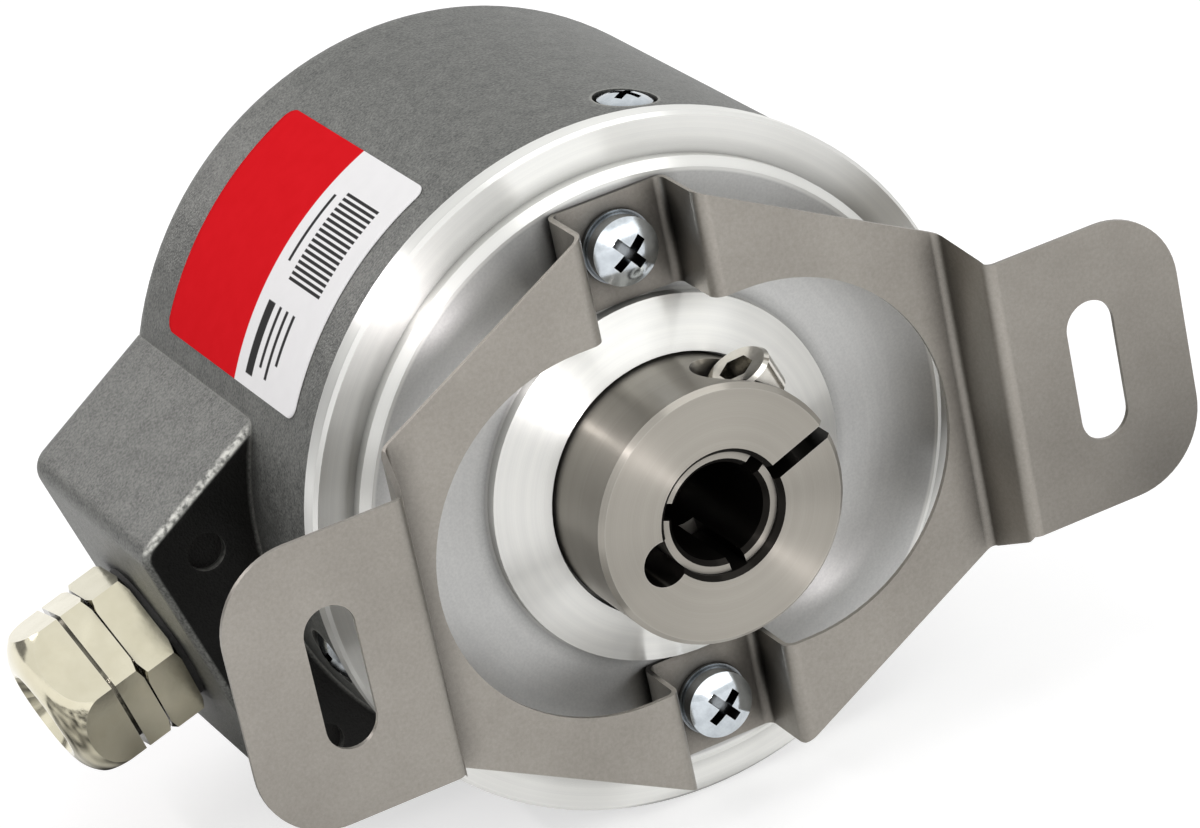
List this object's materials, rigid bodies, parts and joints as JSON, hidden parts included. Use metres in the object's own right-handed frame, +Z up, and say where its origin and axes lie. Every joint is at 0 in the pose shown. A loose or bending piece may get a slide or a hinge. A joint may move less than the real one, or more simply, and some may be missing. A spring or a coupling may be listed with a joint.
{
  "type": "hollow shaft rotary encoder",
  "caption": "Rotary encoder with a blind hollow shaft and clamping ring, folded spring-sheet stator coupling, cast cup housing and radial cable gland.",
  "frame": {"origin": "on the shaft's axis, in the plane of the front face of the flange's rim, inside the hollow shaft's bore", "axes": "-Y along the shaft's axis out of the bore's mouth (the clamping end), +Z up, X along the coupling's two arms"},
  "size_m": [0.089, 0.0532, 0.058],
  "materials": {
    "cast_aluminium": "shot-blasted die casting, bare",
    "turned_aluminium": "fine turned, clear anodised",
    "spring_steel": "cold-rolled stainless spring sheet",
    "stainless_steel": "fine turned stainless",
    "stainless_screw": "stainless, bright",
    "zinc_screws": "blue-passivated zinc",
    "bearing_steel": "ground bearing steel",
    "ball_steel": "polished bearing steel",
    "cage_brass": "pressed brass",
    "pressed_steel": "pressed sheet steel",
    "spacer_steel": "turned steel",
    "clip_steel": "phosphated spring steel",
    "black_rubber": "nitrile rubber, matte",
    "gasket_rubber": "nitrile rubber, matte",
    "nickel_brass": "nickel-plated brass, bright",
    "plated_brass": "nickel-plated brass",
    "hub_aluminium": "turned",
    "can_aluminium": "drawn can",
    "disc_glass": "glass with a chrome track",
    "mask_glass": "glass with chrome windows",
    "clear_resin": "clear epoxy lens",
    "black_plastic": "moulded, glass filled",
    "black_epoxy": "moulded epoxy",
    "board_laminate": "glass-epoxy laminate, solder resist",
    "terminal_plastic": "moulded polyamide"
  },
  "bodies": {
    "housing": {"rear_cup": "cast_aluminium", "front_flange": "turned_aluminium", "flange_o_ring": "black_rubber", "housing_screws": "zinc_screws", "stator_coupling": "spring_steel", "coupling_washers": "zinc_screws", "coupling_screws": "zinc_screws", "front_bearing_outer_ring": "bearing_steel", "rear_bearing_outer_ring": "bearing_steel", "bearing_shields": "pressed_steel", "outer_spacer": "spacer_steel", "housing_circlip": "clip_steel", "shaft_seal": "black_rubber", "emitter_holder": "black_plastic", "emitter_led": "clear_resin", "emitter_screws": "zinc_screws", "scanning_mask": "mask_glass", "detector_chip": "black_epoxy", "circuit_board": "board_laminate", "board_standoffs": "plated_brass", "board_screws": "zinc_screws", "line_drivers": "black_epoxy", "board_capacitors": "can_aluminium", "terminal_block": "terminal_plastic", "gland_gasket": "gasket_rubber", "gland_body": "nickel_brass", "gland_nut": "nickel_brass", "gland_seal": "black_rubber"},
    "shaft": {"hollow_shaft": "stainless_steel", "clamp_ring": "stainless_steel", "clamp_screw": "stainless_screw", "front_bearing_inner_ring": "bearing_steel", "rear_bearing_inner_ring": "bearing_steel", "inner_spacer": "spacer_steel", "shaft_circlip": "clip_steel", "disc_hub": "hub_aluminium", "code_disc": "disc_glass"},
    "front_cage": {"front_bearing_cage": "cage_brass", "front_bearing_balls": "ball_steel"},
    "rear_cage": {"rear_bearing_cage": "cage_brass", "rear_bearing_balls": "ball_steel"}
  },
  "joints": [
    {"name": "shaft_spin", "type": "hinge", "parent": "housing", "child": "shaft", "pos_m": [0, 0, 0], "axis": [0, 1, 0], "continuous": true},
    {"name": "front_cage_spin", "type": "hinge", "parent": "housing", "child": "front_cage", "pos_m": [0, 0, 0], "axis": [0, 1, 0], "continuous": true},
    {"name": "rear_cage_spin", "type": "hinge", "parent": "housing", "child": "rear_cage", "pos_m": [0, 0, 0], "axis": [0, 1, 0], "continuous": true}
  ],
  "couplings": [
    {"joint": "front_cage_spin", "follows": "shaft_spin", "ratio": 0.42788},
    {"joint": "rear_cage_spin", "follows": "shaft_spin", "ratio": 0.42788}
  ]
}
